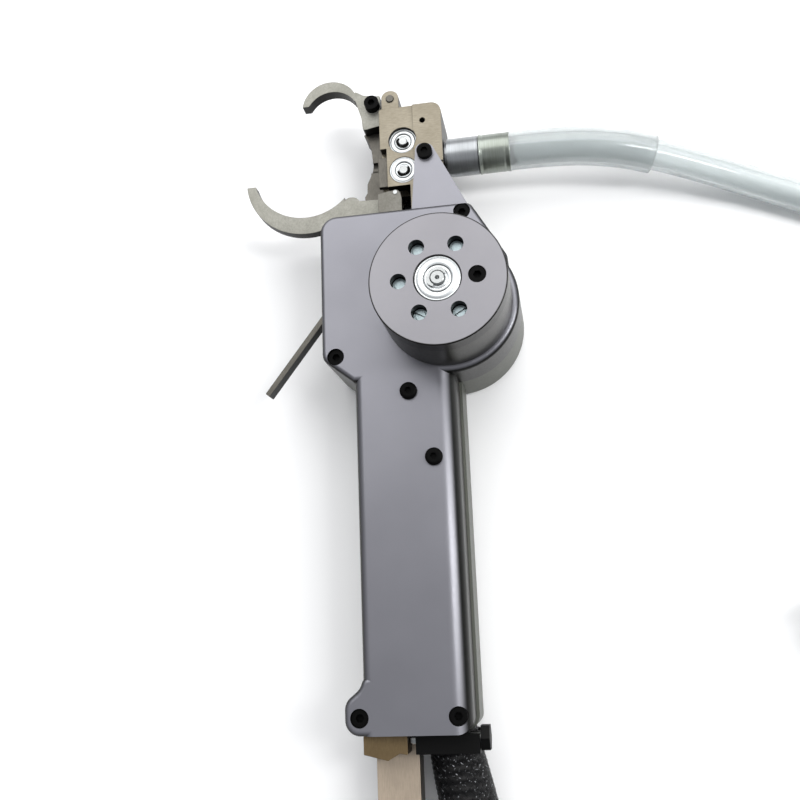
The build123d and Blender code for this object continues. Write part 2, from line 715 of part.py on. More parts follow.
def hose_coupler():
    """Round coupler for the feeder, lying on the coil: knurled grip, step and blind socket."""
    z = 2 * hose_r + coupler_r + 0.3
    at = place_on_ring(hose_coil_centre, hose_coil_mean + hose_r + 2.0, hose_end_angle, z)
    at *= Rot(0, 0, hose_end_angle)
    body = Rot(90, 0, 0) * Pos(0, 0, 2 + coupler_length / 2) * Cylinder(coupler_r, coupler_length * 0.62)
    body += Rot(90, 0, 0) * Pos(0, 0, 2 + coupler_length / 2) * Cylinder(coupler_r - 1.5, coupler_length)
    body -= Rot(90, 0, 0) * Pos(0, 0, 2 + coupler_length - 9.5) * Cylinder(5.0, 21.0)
    return at * body


def umbilical():
    return cord_tube(cord_route, cord_r)


def umbilical_coil():
    x, y = cord_coil_centre
    m, d = cord_coil_mean, 2 * cord_r
    body = ring_sector(x, y, m + d, m - d, 0, d, 0, 360)
    upper = ring_sector(x, y, m + cord_r, m - cord_r, d - 1, 1.87 * d, cord_upper_start, cord_upper_sweep)
    return body + upper


def umbilical_connector():
    """Round multipole connector, lying on the coil: back nut, body and coupling ring."""
    z = 2 * cord_r + connector_r + 0.3
    at = place_on_ring(cord_coil_centre, cord_coil_mean, cord_end_angle, z) * Rot(0, 0, cord_end_angle)
    half = connector_length / 2
    turned = Rot(90, 0, 0)
    body = turned * Pos(0, 0, -2 - half) * Cylinder(connector_r - 1.8, connector_length)
    body += turned * Pos(0, 0, -2 - connector_length * 0.74) * Cylinder(connector_r, connector_length * 0.36)
    body += turned * Pos(0, 0, -2 - connector_length * 0.15) * Cylinder(connector_r - 0.8, connector_length * 0.3)
    body -= turned * Pos(0, 0, -2 - connector_length + 5) * Cylinder(connector_r - 4, 12.0)
    return at * body


# ---- bottom of the handle ----

def exit_block():
    left, right, top = -43.4, -25.6, handle_end - 0.05
    plan = outline([(left, top - 7.6, 0.4), (-33.6, top - 10.0, 0.4), (-28.8, top - 7.3, 0.4),
                    (right, top - 7.9, 0.4), (right, top, 0.3), (left, top, 0.3)])
    return slab(plan, chute_back + chute_height + 0.05, 36.0)


def scrap_chute():
    x0, x1 = chute_left, chute_left + chute_width
    z0, z1 = chute_back, chute_back + chute_height
    tube_body = box(x0, x1, chute_end, handle_end + 8, z0, z1)
    tube_body -= box(x0 + sheet, x1 - sheet, chute_end - 1, handle_end + 9, z0 + sheet, z1 - sheet)
    return tube_body


def scrap_duct():
    """Sheet duct that carries cut tails down the handle to the chute."""
    x0, width = -38.4, 12.6
    outer = box(x0, x0 + width, -140.0, -36.0, duct_z, duct_z + duct_height)
    inner = box(x0 + sheet, x0 + width - sheet, -141.0, -35.0, duct_z + sheet, duct_z + duct_height - sheet)
    return outer - inner


def sleeve_clamp():
    bar_foot = chute_back + chute_height + 0.3
    bar = box(clamp_left, clamp_right, clamp_back, clamp_front, bar_foot, clamp_bolt_z + 3.6)
    ring = along_cord(cord_r + 2.6, 0.0, 12.0)
    ring &= box(chute_left + chute_width + 0.3, clamp_right, clamp_back, clamp_front, 0, 60)
    body = bar + ring - along_cord(cord_r + 0.05, -4.0, 16.0)
    return body - rod_x(clamp_bolt_y, clamp_bolt_z, screw_r + fit_gap, clamp_left - 1, clamp_right + 1)


def clamp_bolt():
    bolt = rod_x(clamp_bolt_y, clamp_bolt_z, screw_r, clamp_left - 2.2, clamp_right + 0.3)
    return bolt + rod_x(clamp_bolt_y, clamp_bolt_z, screw_r + 0.35, clamp_left - 1.6, clamp_left - 0.05)


def clamp_knob():
    half = 1.8
    at = Pos(clamp_right + 0.35 + half, clamp_bolt_y, clamp_bolt_z - 1.0) * Rot(0, 90, 0)
    return at * extrude(RegularPolygon(5.4, 6), half, both=True)


def handle_screws():
    screws = []
    for x, y in button_screws:
        head = disc(x, y, screw_head_r + 0.2, face_z, face_z + 2.2)
        head = fillet(head.edges().filter_by_position(Axis.Z, face_z + 2.1, face_z + 2.3), 1.3)
        head -= slab(Pos(x, y) * RegularPolygon(1.5, 6), face_z + 0.8, face_z + 3)
        screws.append(head + disc(x, y, screw_r, face_z - 6.4, face_z + 0.1))
    return Compound(children=screws)


def gusset_screw():
    top = block_face + step_height + 3.7
    return socket_screw(*gusset_screw_at, top + 2.4, 9.0, head_height=2.4)


# ---- trigger group ----

def trigger_lever():
    """Flat bar from its hub in the head to a free end beside the handle, with a short switch arm."""
    x, y = trigger_pivot
    hub = Circle(trigger_hub_r)
    bar = Pos(trigger_reach / 2, 0) * Rectangle(trigger_reach, trigger_thick)
    bar = fillet(bar.vertices(), 0.6)
    arm = Pos(-4.0, 0) * SlotOverall(8.0 + trigger_thick, trigger_thick)
    shape = Rot(0, 0, trigger_angle) * (hub + bar + arm)
    lever = slab(Pos(x, y) * shape, trigger_back, trigger_back + trigger_width)
    return lever - disc(x, y, trigger_pin_r + 0.04, 0, face_z)


def trigger_pin():
    return disc(trigger_pivot[0], trigger_pivot[1], trigger_pin_r, wall, face_z - wall)


def trigger_spring():
    """Torsion spring round the pin, as three touching turns."""
    x, y = trigger_pivot
    z = trigger_back + trigger_width + 1.5
    spring = tube(x, y, 3.9, 2.6, z, z + 3.6)
    return spring + box(x + 2.6, x + 9.0, y + 3.0, y + 3.9, z, z + 0.9)


def micro_switch():
    body = box(-51.0, -35.5, switch_y, switch_y + 8.0, trigger_back + 0.5, trigger_back + 8.5)
    return body - box(-46.6, -41.4, switch_y - 1, switch_y + 4.0, trigger_back + 2.4, trigger_back + 6.6)


def switch_button():
    return box(-46.5, -41.5, switch_y - 2.1, switch_y + 2.4, trigger_back + 2.5, trigger_back + 6.5)


def circuit_board():
    board = box(-37.6, -36.0, -126.0, -62.0, 6.0, 28.0)
    parts = [(-118, -108, 8, 24, 3.4), (-102, -94, 10, 20, 2.2), (-90, -82, 9, 25, 3.0), (-76, -68, 8, 26, 3.4)]
    for y0, y1, z0, z1, height in parts:
        board += box(-36.1, -36.0 + height, y0, y1, z0, z1)
    return board


nodes = [
    front_shell, back_shell, casing_screws, handle_screws, drum_ring, drum_cover, cover_screw, main_shaft, reel,
    push_band, drive_gear, motor_pinion, motor_plate, drive_motor, front_bearing, back_bearing, tension_motor,
    tension_gearhead, tension_shaft, angle_gearbox, lower_tension_gear, upper_tension_gear, lower_tension_shaft,
    upper_tension_shaft, upper_head_bearing, lower_head_bearing, head_block, head_frame, tie_guide, guide_foot,
    jaw_bracket, bracket_dowel, jaw_pin, pivot_post, upper_jaw, jaw_screw, link_pin, lower_jaw, cutter_blade,
    feed_nipple, feed_hose, hose_sleeve, hose_coil, hose_coupler, umbilical, umbilical_coil, umbilical_connector,
    exit_block, scrap_chute, scrap_duct, sleeve_clamp, clamp_bolt, clamp_knob, gusset_screw, trigger_lever,
    trigger_pin, trigger_spring, micro_switch, switch_button, circuit_board]

os.makedirs("parts", exist_ok=True)
for make in nodes:
    shape = make()
    export_step(shape, f"parts/{make.__name__}.step")
    print(make.__name__, round(shape.volume), "cubic mm")
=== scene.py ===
import json
import math
import bpy
import numpy as np
from mathutils import Matrix, Vector


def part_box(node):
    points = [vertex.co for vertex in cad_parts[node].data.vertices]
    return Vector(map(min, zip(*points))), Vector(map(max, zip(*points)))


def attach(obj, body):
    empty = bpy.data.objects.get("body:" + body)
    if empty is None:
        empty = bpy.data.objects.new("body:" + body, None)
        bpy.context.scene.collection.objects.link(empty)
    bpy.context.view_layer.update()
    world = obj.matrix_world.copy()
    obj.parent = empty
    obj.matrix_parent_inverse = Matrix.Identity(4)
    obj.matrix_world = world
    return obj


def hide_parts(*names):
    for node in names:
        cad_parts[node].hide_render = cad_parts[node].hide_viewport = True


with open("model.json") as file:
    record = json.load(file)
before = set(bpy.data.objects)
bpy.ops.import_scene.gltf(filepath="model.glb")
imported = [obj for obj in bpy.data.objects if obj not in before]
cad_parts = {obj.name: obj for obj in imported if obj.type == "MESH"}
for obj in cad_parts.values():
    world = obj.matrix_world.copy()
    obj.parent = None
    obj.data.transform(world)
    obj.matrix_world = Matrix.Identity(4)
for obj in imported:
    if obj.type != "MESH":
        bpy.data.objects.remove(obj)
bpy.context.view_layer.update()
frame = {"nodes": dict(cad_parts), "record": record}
nodes = frame["nodes"]
mm = 0.001


cameraSetup = {
    "place": (0.042301, -0.136102, 0.425233),  # m
    "right": (0.983864, -0.036782, -0.175096),
    "up": (0.076802, 0.970714, 0.227631),
    "lens": 42.313,  # mm, on a 36 mm sensor
    "nearest": 0.01,  # m, what is closer isn't seen
}


# The camera looks against the cross product of its right and up directions.
def placeCamera(setup):
    right = Vector(setup["right"]).normalized()
    up = Vector(setup["up"]).normalized()
    turn = Matrix((right, up, right.cross(up))).transposed().to_4x4()
    camera = bpy.data.objects.new("camera", bpy.data.cameras.new("camera"))
    bpy.context.scene.collection.objects.link(camera)
    camera.data.lens = setup["lens"]
    camera.data.clip_start = setup["nearest"]
    camera.matrix_world = Matrix.Translation(setup["place"]) @ turn
    bpy.context.scene.camera = camera


placeCamera(cameraSetup)
print("camera placed")


# Puts an array of points and an array of four-cornered faces into one object.
# uv holds a pair for each corner of each face.
def meshFromFaces(name, points, faces, smooth=True, uv=None):
    mesh = bpy.data.meshes.new(name)
    mesh.vertices.add(len(points))
    mesh.vertices.foreach_set("co", np.asarray(points, np.float32).ravel())
    mesh.loops.add(faces.size)
    mesh.loops.foreach_set("vertex_index", faces.astype(np.int32).ravel())
    mesh.polygons.add(len(faces))
    mesh.polygons.foreach_set("loop_start", np.arange(0, faces.size, 4, dtype=np.int32))
    mesh.polygons.foreach_set("use_smooth", np.full(len(faces), smooth))
    if uv is not None:
        layer = mesh.uv_layers.new(name="UVMap")
        layer.data.foreach_set("uv", np.asarray(uv, np.float32).ravel())
    mesh.update(calc_edges=True)
    mesh.validate()
    piece = bpy.data.objects.new(name, mesh)
    bpy.context.scene.collection.objects.link(piece)
    return piece


# Faces of a grid of points, numbered row by row from start: each takes a point, the next row's,
# that row's next column's, and the first row's next column's.
def gridFaces(rows, columns, closeRows=False, closeColumns=False, start=0):
    i = np.arange(rows if closeRows else rows - 1)[:, None]
    j = np.arange(columns if closeColumns else columns - 1)[None, :]
    below = (i + 1) % rows
    beside = (j + 1) % columns
    corners = [i * columns + j, below * columns + j, below * columns + beside, i * columns + beside]
    return start + np.stack(np.broadcast_arrays(*corners), -1).reshape(-1, 4)


# A grid closed both ways: its last row meets its first, and so do its columns.
def closedPiece(name, grid):
    rows, columns = grid.shape[:2]
    return meshFromFaces(name, grid.reshape(-1, 3), gridFaces(rows, columns, True, True))


# Unit vectors at each point of a line: level to its side, and square to both the side and the line.
def sideAndUp(line):
    along = np.gradient(line, axis=0)
    along /= np.linalg.norm(along, axis=1)[:, None]
    side = np.cross(along, [0.0, 0.0, 1.0])
    side /= np.linalg.norm(side, axis=1)[:, None]
    return side, np.cross(side, along)


# Sum of the steps from the line's start to each of its points.
def distanceAlong(line):
    return np.r_[0.0, np.cumsum(np.linalg.norm(np.diff(line, axis=0), axis=1))]


# A circle of count points at each point of a line: radius times cosine to the side plus sine up.
def ringsAlong(line, radius, count):
    side, up = sideAndUp(line)
    angle = np.linspace(0, 2 * np.pi, count, endpoint=False)[None, :, None]
    radius = np.broadcast_to(radius, len(line))[:, None, None]
    return line[:, None] + radius * (np.cos(angle) * side[:, None] + np.sin(angle) * up[:, None])


# Outer wall along the line, then the inner wall back, joined at both ends by flat rims.
def hollowTube(name, line, outer, inner, count):
    walls = [ringsAlong(line, outer, count), ringsAlong(line, inner, count)[::-1]]
    return closedPiece(name, np.concatenate(walls))


# A closed profile of (distance along axis, radius) points, turned round the axis in count steps.
def lathe(name, profile, place, axis, count):
    axis = Vector(axis).normalized()
    side = axis.orthogonal().normalized()
    up = axis.cross(side)
    along, radius = np.array(profile, float).T[:, :, None, None]
    angle = np.linspace(0, 2 * np.pi, count, endpoint=False)[None, :, None]
    ring = np.cos(angle) * np.array(side) + np.sin(angle) * np.array(up)
    return closedPiece(name, np.array(place) + along * np.array(axis) + radius * ring)


# Control points of a coil. Each stretch is (start angle, degrees turned, radius and height at its
# start, radius and height at its end). In the middle of each span, a line of order 3 lies at
# 0.75 + 0.25 cos(step) of its points' radius, so the points stand outside the turn by the inverse.
# The last point is where the line ends.
def coilTurns(turns, centre, clockwise):
    perTurn = 16
    outside = 1 / (0.75 + 0.25 * math.cos(2 * math.pi / perTurn))
    way = -1 if clockwise else 1
    x, y = centre
    points = []
    for start, turned, radius0, height0, radius1, height1 in turns:
        steps = max(2, round(turned / 360 * perTurn))
        share = np.arange(steps) / steps
        angle = np.radians(start + way * turned * share)
        radius = (radius0 + (radius1 - radius0) * share) * outside
        height = height0 + (height1 - height0) * share
        points += zip(x + radius * np.cos(angle), y + radius * np.sin(angle), height)
    end = math.radians(start + way * turned)
    points.append((x + radius1 * math.cos(end), y + radius1 * math.sin(end), height1))
    return points


# One open NURBS line through millimetre control points, read back as an array of points in metres.
def smoothLine(points, detail):
    curve = bpy.data.curves.new("guide", "CURVE")
    curve.dimensions = "3D"
    spline = curve.splines.new("NURBS")
    spline.points.add(len(points) - 1)
    spline.points.foreach_set("co", np.c_[np.array(points) * mm, np.ones(len(points))].ravel())
    spline.order_u = 3
    spline.use_endpoint_u = True
    spline.resolution_u = detail
    guide = bpy.data.objects.new("guide", curve)
    bpy.context.scene.collection.objects.link(guide)
    bpy.context.view_layer.update()
    evaluated = guide.evaluated_get(bpy.context.evaluated_depsgraph_get())
    mesh = bpy.data.meshes.new_from_object(evaluated)
    line = np.zeros(len(mesh.vertices) * 3)
    mesh.vertices.foreach_get("co", line)
    bpy.data.meshes.remove(mesh)
    bpy.data.objects.remove(guide)
    return line.reshape(-1, 3)


# Points of a line at the given distances from its start.
def spacedPoints(line, places):
    reached = distanceAlong(line)
    return np.stack([np.interp(places, reached, line[:, k]) for k in range(3)], -1)


# From here to the materials, lengths are in mm unless a note says otherwise.
hose = {
    "route": [(31.2, 77.6, 24.6), (52, 77.6, 24.6), (75, 75.8, 22.0), (95, 71.8, 17.6),
              (116, 65.2, 13.0), (137, 57.2, 9.2), (156, 48.8, 7.3), (184, 35.6, 7.05),
              (213.5, 19.8, 7.0), (243.5, 1.6, 7.0), (274, -19.0, 7.0), (306, -43.2, 7.0)],
    "centre": (245.6, -115.2),
    "turns": [(40, 280, 94, 7, 94, 7), (-240, 60, 94, 7, 80, 7), (-300, 300, 80, 7, 80, 7),
              (-600, 60, 80, 7, 66, 7), (-660, 290, 66, 7, 66, 7), (-950, 70, 66, 7.2, 73, 19.4),
              (-1020, 240, 73, 19.4, 73, 19.4), (-1260, 90, 73, 19.4, 87, 19.8),
              (-1350, 170, 87, 19.8, 87, 19.8), (-1520, 65, 87, 19.8, 89, 22.8)],
    "detail": 8,
    "outer": 7.0,
    "inner": 5.2,
    "sides": 28,
    "sleeveOuter": 8.7,
    "sleeveInner": 7.05,
    "sleeveStart": 16.6,
    "sleeveLength": 65.0,  # past the start of the hose
    "sleeveSides": 48,
}


# The hose is a hollow tube on its whole line. The sleeve is a wider one, on a straight stretch over
# the nipple and then on the start of the same line.
def makeHose(size):
    points = size["route"] + coilTurns(size["turns"], size["centre"], True)
    line = smoothLine(points, size["detail"])
    tube = hollowTube("feedHose", line, size["outer"] * mm, size["inner"] * mm, size["sides"])
    start = line[0] + np.array([size["sleeveStart"] * mm - line[0][0], 0, 0])
    straight = np.linspace(start, line[0], 12, endpoint=False)
    covered = spacedPoints(line, np.linspace(0, size["sleeveLength"] * mm, 60))
    sleeve = hollowTube("hoseSleeve", np.concatenate([straight, covered]),
                        size["sleeveOuter"] * mm, size["sleeveInner"] * mm, size["sleeveSides"])
    return tube, sleeve, line


hoseTube, hoseSleeve, hoseLine = makeHose(hose)
for piece in (hoseTube, hoseSleeve):
    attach(piece, "housing")
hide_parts("feed_hose", "hose_coil")
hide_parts("hose_sleeve")


umbilical = {
    "route": [(-10.6, -174.6, 15.0), (-7.55, -192.0, 15.0), (-3.4, -211.0, 14.4),
              (0.9, -232.0, 13.4), (4.9, -257.0, 12.5), (8.1, -286.0, 12.1),
              (9.9, -318.0, 12.0), (10.3, -352.0, 12.0)],
    "centre": (142.3, -352.0),
    "turns": [(190, 290, 132, 12, 132, 12), (480, 60, 132, 12, 108, 12),
              (540, 290, 108, 12, 108, 12), (830, 95, 108, 12.3, 120, 33.2),
              (925, 240, 120, 33.2, 120, 33.2), (1165, 60, 120, 33.2, 120, 36.8)],
    "detail": 6,
    "core": 11.1,
    "bore": 0.7,  # share of the core's radius
    "steps": 900,
    "sides": 32,
    "waist": 0.86,  # share of the diameter left where the clamp grips it
    "waistEnd": 26.0,
    "waistPower": 0.7,
    "braid": 11.55,
    "strands": 24,
    "lean": 38.0,  # degrees between a strand and the axis
    "cover": 0.86,  # share of its part of the turn that a strand covers
    "crown": 0.16,  # how far a strand's middle stands above its edges
    "weave": 0.22,  # how far a strand rises and dips
    "flatFrom": 150.0,  # past this distance the strands no longer rise and dip
    "fade": 30.0,  # length over which they stop doing so
    "fineTo": 160.0,
    "fineStep": 0.6,
    "coarseStep": 3.0,
}


# Share of the full diameter: the waist at the clamp, growing to 1 as a power of distance.
def waistShare(places, size):
    grown = np.clip(places / (size["waistEnd"] * mm), 0, 1) ** size["waistPower"]
    return size["waist"] + (1 - size["waist"]) * grown


# Flat strands wound along the line. A strand's angle grows with distance, and its radius is the
# braid's plus the weave times the cosine of how many strands it has crossed. Hand is 1 or -1: the
# two hands turn opposite ways, and one rises where the other dips.
def makeBraid(name, line, size, hand):
    end = distanceAlong(line)[-1]
    fine = np.arange(0, size["fineTo"] * mm, size["fineStep"] * mm)
    coarse = np.arange(size["fineTo"] * mm, end, size["coarseStep"] * mm)
    places = np.r_[fine, coarse, end]
    centre = spacedPoints(line, places)
    side, up = sideAndUp(centre)
    count = size["strands"]
    growth = math.tan(math.radians(size["lean"])) / (size["braid"] * mm)  # radians a metre
    woven = np.clip((size["flatFrom"] * mm - places) / (size["fade"] * mm), 0, 1)
    lift = hand * (woven * np.cos(count * growth * places) + (1 - woven)) * size["weave"] * mm
    across = np.array([-1.0, 0.0, 1.0]) * 0.5 * 2 * math.pi / count * size["cover"]
    crown = np.array([0.0, size["crown"], 0.0]) * mm
    strand = np.arange(count) * 2 * math.pi / count
    angle = hand * growth * places[None, :, None] + strand[:, None, None] + across[None, None, :]
    middle = size["braid"] * mm * waistShare(places, size) + lift
    radius = middle[None, :, None] + crown[None, None, :]
    cosine, sine = np.cos(angle)[..., None], np.sin(angle)[..., None]
    rings = cosine * side[None, :, None] + sine * up[None, :, None]
    grid = centre[None, :, None] + radius[..., None] * rings
    lanes, rows = len(across), len(places)
    faces = np.concatenate([gridFaces(rows, lanes, start=k * rows * lanes) for k in range(count)])
    # u is distance along the line, and v is the strand's number plus 0 to 1 across it
    v = faces // (lanes * rows) + (faces % lanes) / (lanes - 1)
    uv = np.stack([places[(faces // lanes) % rows], v], -1)
    return meshFromFaces(name, grid.reshape(-1, 3), faces, uv=uv)


def makeUmbilical(size):
    points = size["route"] + coilTurns(size["turns"], size["centre"], False)
    line = smoothLine(points, size["detail"])
    even = spacedPoints(line, np.linspace(0, distanceAlong(line)[-1], size["steps"]))
    outer = size["core"] * mm * waistShare(distanceAlong(even), size)
    core = hollowTube("umbilicalCore", even, outer, outer * size["bore"], size["sides"])
    braids = [makeBraid("braidRight", line, size, 1), makeBraid("braidLeft", line, size, -1)]
    return core, braids, line


umbilicalCore, umbilicalBraids, umbilicalLine = makeUmbilical(umbilical)
for piece in [umbilicalCore] + umbilicalBraids:
    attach(piece, "housing")
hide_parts("umbilical", "umbilical_coil")


bearing = {
    "bores": {"front_bearing": 3.0, "upper_head_bearing": 2.0, "lower_head_bearing": 2.0},
    "split": 0.62,  # share of the outer radius where the gap between the rings starts; painted shade darkens it
    "gap": 0.32,  # mm, width of that gap
    "depth": 0.7,
    "edge": 0.15,  # mm, chamfer on each ring
    "line": 0.14,  # mm, half the width of the pressed line on each ring
    "outerLine": 0.2,  # where it lies on the outer ring, as a share of its width from outside
    "innerLine": 0.42,  # and on the inner ring, from the bore
    "sides": 96,
}


# Shielded ball bearing turned from one closed profile: outer ring with a pressed line, a gap, inner
# ring with a pressed line, and a flat back. Its outer sizes are its CAD node's.
def makeBearing(name, size):
    low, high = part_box(name)
    top = high.z
    outer, inner = (high.x - low.x) / 2, size["bores"][name] * mm
    edge, line = size["edge"] * mm, size["line"] * mm
    gapOut = outer * size["split"]
    gapIn = gapOut - size["gap"] * mm
    first = outer - size["outerLine"] * (outer - gapOut)
    second = inner + size["innerLine"] * (gapIn - inner)
    shield = top - edge  # the inner ring's face lies lower than the outer's
    profile = [(low.z, outer), (top - edge * 2, outer), (top - edge * 0.4, outer - edge),
               (top, outer - edge * 2), (top, first + line), (top - line * 1.6, first),
               (top, first - line), (top, gapOut + edge), (top - edge, gapOut),
               (top - size["depth"] * mm, gapOut), (top - size["depth"] * mm, gapIn),
               (top - edge * 2, gapIn), (shield, gapIn - edge), (shield, second + line),
               (shield - line * 1.8, second), (shield, second - line), (shield, inner + edge),
               (top - edge * 2, inner), (low.z, inner)]
    place = ((low.x + high.x) / 2, (low.y + high.y) / 2, 0)
    return lathe(name + "Detail", profile, place, (0, 0, 1), size["sides"])


bearingPieces = []
for name in bearing["bores"]:
    piece = makeBearing(name, bearing)
    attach(piece, "housing")
    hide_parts(name)
    bearingPieces.append(piece)


stud = {
    "circle": 16.0,  # mm from the main shaft's axis
    "turns": [60, 120, 180, 240, 300],  # where each stands on that circle, in degrees
    "radius": 3.2,
    "under": 4.8,  # below the face of the drum
    "length": 3.0,
    "step": 2.1,  # radius of the raised middle
    "stepHeight": 0.45,
    "edge": 0.25,
    "slotWidth": 0.7,
    "slots": [95, 20, 90, 150, 30],  # which way each slot runs, in degrees
    "slotDepths": [0.0, 0.0, 0.0, 0.8, 0.8],  # mm, and the upper three have none
    "sides": 96,
}


# Slotted heads at the bottom of the drum's holes. Height over a polar grid: a step up inside the
# step radius, less a slot where the distance from the slot's line is under half its width, less a
# bevel at the edge. A skirt goes straight down, and nearly to its middle underneath.
def makeStuds(size):
    radii = np.r_[np.linspace(0.02, size["step"] - 0.08, 16),
                  np.linspace(size["step"] + 0.06, size["radius"] - 0.2, 8), size["radius"]]
    angle = np.linspace(0, 2 * np.pi, size["sides"], endpoint=False)
    r, a = np.meshgrid(radii, angle, indexing="ij")
    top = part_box("drum_cover")[1].z - size["under"] * mm
    bevel = np.clip((r - size["radius"] + size["edge"]) / size["edge"], 0, 1) * size["edge"]
    head = np.where(r < size["step"], size["stepHeight"], 0.0) - bevel
    points, faces = [], []
    turns, ways = np.radians(size["turns"]), np.radians(size["slots"])
    for turn, way, depth in zip(turns, ways, size["slotDepths"]):
        height = head - np.where(np.abs(r * np.sin(a - way)) < size["slotWidth"] / 2, depth, 0.0)
        x = size["circle"] * np.cos(turn) + r * np.cos(a)
        y = size["circle"] * np.sin(turn) + r * np.sin(a)
        grid = np.stack([x * mm, y * mm, top + height * mm], -1)
        skirt = grid[-1:].copy()
        skirt[..., 2] = top - size["length"] * mm
        centre = skirt.mean(axis=1, keepdims=True)
        under = centre + (skirt - centre) * 0.01
        grid = np.concatenate([grid, skirt, under])[::-1]
        start = sum(len(p) for p in points)
        faces.append(gridFaces(len(grid), size["sides"], closeColumns=True, start=start))
        points.append(grid.reshape(-1, 3))
    return meshFromFaces("drumStuds", np.concatenate(points), np.concatenate(faces), smooth=False)


drumStuds = makeStuds(stud)
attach(drumStuds, "housing")


clip = {
    "rings": [("upperShaftClip", "upper_tension_shaft", "upper_tension", 60.0, 1.0),
              ("lowerShaftClip", "lower_tension_shaft", "lower_tension", 110.0, 1.0),
              ("mainShaftClip", "main_shaft", "rotor", -45.0, 0.69)],
    "opening": 150.0,  # degrees
    "inner": 1.1,  # shares of the shaft's radius
    "outer": 1.5,
    "lobe": 0.08,
    "thick": 0.5,
    "sink": 0.2,  # below the shaft's end
    "steps": 60,
}


# Retaining ring: a flat C whose outer radius swells by a cosine at three lobes, just under the
# shaft's end. Middle is the way its opening faces in degrees, and share scales the shaft's radius.
def makeClip(size, name, shaft, body, middle, share):
    low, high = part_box(shaft)
    centre = np.array([(low.x + high.x) / 2, (low.y + high.y) / 2])
    radius = share * (high.x - low.x) / 2
    half = math.radians(size["opening"] / 2)
    steps = size["steps"]
    angle = np.linspace(half, 2 * np.pi - half, steps) + math.radians(middle)
    lobes = 1 + size["lobe"] * np.cos(3 * (angle - math.radians(middle)))
    inner, outer = radius * size["inner"] * np.ones(steps), radius * size["outer"] * lobes
    top = high.z - size["sink"] * mm
    bottom = top - size["thick"] * mm
    rows = [(inner, bottom), (outer, bottom), (outer, top), (inner, top)]
    ring = np.stack([np.stack([centre[0] + r * np.cos(angle), centre[1] + r * np.sin(angle),
                               np.full(steps, z)], -1) for r, z in rows], 1)
    last = (steps - 1) * 4
    ends = np.array([[0, 1, 2, 3], [last + 3, last + 2, last + 1, last]])
    faces = np.concatenate([gridFaces(steps, 4, closeColumns=True)[:, ::-1], ends])
    piece = meshFromFaces(name, ring.reshape(-1, 3), faces, smooth=False)
    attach(piece, body)
    return piece


clips = [makeClip(clip, *ring) for ring in clip["rings"]]
print("bearings, studs and clips made")


crimp = {
    "start": 16.75,
    "end": 30.9,
    "radius": 8.85,
    "bore": 8.72,
    "lip": 0.22,  # height of the lip at each end
    "lipWidths": (0.05, 0.06),  # these and the grooves' places are shares of the band's length
    "groove": 0.1,
    "grooveWidth": 0.03,
    "grooves": (0.12, 0.86),
    "steps": 64,
    "sides": 96,
}


# Band over the sleeve: a tube whose radius has a lip at each end and two shallow pressed grooves,
# each of them a bell curve.
def makeCrimp(size):
    along = np.linspace(size["start"], size["end"], size["steps"])
    share = (along - size["start"]) / (size["end"] - size["start"])
    near, far = size["lipWidths"]
    lips = size["lip"] * (np.exp(-(share / near) ** 2) + np.exp(-((1 - share) / far) ** 2))
    dips = sum(np.exp(-((share - at) / size["grooveWidth"]) ** 2) for at in size["grooves"])
    outer = size["radius"] + lips - size["groove"] * dips
    profile = list(zip(along, outer)) + [(size["end"], size["bore"]), (size["start"], size["bore"])]
    low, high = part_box("feed_nipple")
    place = (0, (low.y + high.y) / 2, (low.z + high.z) / 2)
    return lathe("crimpBand", np.array(profile) * mm, place, (1, 0, 0), size["sides"])


crimpBand = makeCrimp(crimp)
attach(crimpBand, "housing")
print("crimp made")


# sRGB hex to linear colour: divided by 12.92 where dark, else ((c + 0.055) / 1.055) to the 2.4.
def linear(hexColour):
    parts = [int(hexColour[i:i + 2], 16) / 255 for i in (1, 3, 5)]
    curved = [c / 12.92 if c <= 0.04045 else ((c + 0.055) / 1.055) ** 2.4 for c in parts]
    return tuple(curved) + (1.0,)


# Fills a node's inputs: a value is set on the input itself, and another node's output is linked.
def fillInputs(tree, target, inputs):
    for key, given in inputs.items():
        if isinstance(given, bpy.types.NodeSocket):
            tree.links.new(given, target.inputs[key])
        else:
            target.inputs[key].default_value = given


# Adds a shader node with its settings, values and links.
def addNode(tree, kind, inputs, **settings):
    made = tree.nodes.new("ShaderNode" + kind)
    for key, value in settings.items():
        setattr(made, key, value)
    fillInputs(tree, made, inputs)
    return made


# A new material, its node tree and its Principled shader.
def newMaterial(name):
    material = bpy.data.materials.new(name)
    material.use_nodes = True
    return material, material.node_tree, material.node_tree.nodes["Principled BSDF"]


# Mask for painted shade on walls: 1 where a surface faces up, 0 on its walls, from the upward
# part of its normal.
def paintedShadeByFacing(tree, low, high):
    normal = addNode(tree, "NewGeometry", {}).outputs["Normal"]
    upward = addNode(tree, "SeparateXYZ", {0: normal}).outputs["Z"]
    share = addNode(tree, "MapRange", {"Value": upward, "From Min": low, "From Max": high})
    return share.outputs[0]


coat = {
    "cloud": 45.0,  # mm, width of the faint clouds
    "flake": 0.9,  # mm, coarser than the real flakes so that they show
    "peel": 0.08,  # mm, height of the orange peel
    "peelShare": 0.10,  # how much of it shows
    "glossRange": (-0.05, 0.07),  # added to the roughness
    "walls": (0.66, 0.995),  # painted wall shade below the first, the face's colour above the second
    "rimShadowFade": 0.3,  # mm, over which the painted rim shadow fades in
}
